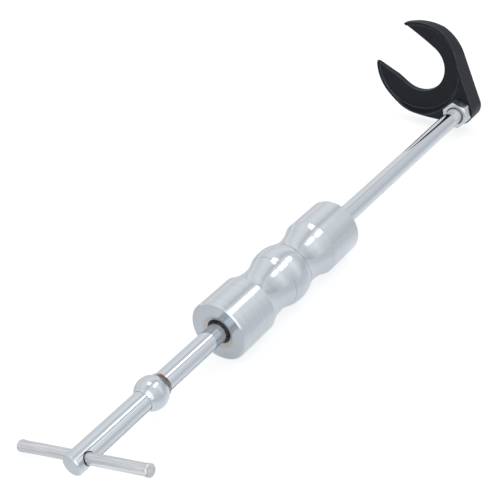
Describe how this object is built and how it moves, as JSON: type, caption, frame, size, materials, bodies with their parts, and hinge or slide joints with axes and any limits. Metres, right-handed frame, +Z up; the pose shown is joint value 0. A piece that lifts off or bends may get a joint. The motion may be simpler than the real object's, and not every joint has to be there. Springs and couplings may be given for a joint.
{
  "type": "slide hammer seal puller",
  "caption": "Slide-hammer puller: a round rod with a cross bar, a stop ball, a waisted sliding weight and, held by a jam nut, a forged fork with a stepped half-round mouth.",
  "frame": {"origin": "middle of the part's bounding box in X and Y, at the height of the flat surface that the tool lies on", "axes": "+Y along the rod from the cross bar to the fork, +Z up as the tool lies on its hammer and the low end of its cross bar, +X to the right seen from the cross bar"},
  "size_m": [0.1619, 0.5874, 0.108],
  "materials": {
    "bright_rod": "polished bar",
    "bright_ball": "polished",
    "weld": "heat-browned bead",
    "bar_steel": "dull drawn bar",
    "bright_hammer": "turned and plated",
    "bright_nut": "zinc plated",
    "black_forging": "satin black oxide over forged steel"
  },
  "bodies": {
    "rod": {"shaft": "bright_rod", "stop_ball": "bright_ball", "stop_weld": "weld"},
    "cross_bar": {"t_bar": "bar_steel"},
    "hammer": {"slide_hammer": "bright_hammer"},
    "nut": {"jam_nut": "bright_nut"},
    "fork": {"fork": "black_forging"}
  },
  "joints": [
    {"name": "hammer_slide", "type": "slide", "parent": "rod", "child": "hammer", "axis": [0, 1, 0], "range_m": [-0.069, 0.2357]},
    {"name": "cross_bar_slide", "type": "slide", "parent": "rod", "child": "cross_bar", "axis": [0.9475, 0, 0.3196], "range_m": [-0.0535, 0.0535]},
    {"name": "nut_turn", "type": "hinge", "parent": "rod", "child": "nut", "pos_m": [0.0186, 0.266, 0.0245], "axis": [0, 1, 0], "continuous": true},
    {"name": "fork_turn", "type": "hinge", "parent": "rod", "child": "fork", "pos_m": [0.0186, 0.28275, 0.0245], "axis": [0, 1, 0], "range_deg": [-180, 180]}
  ]
}
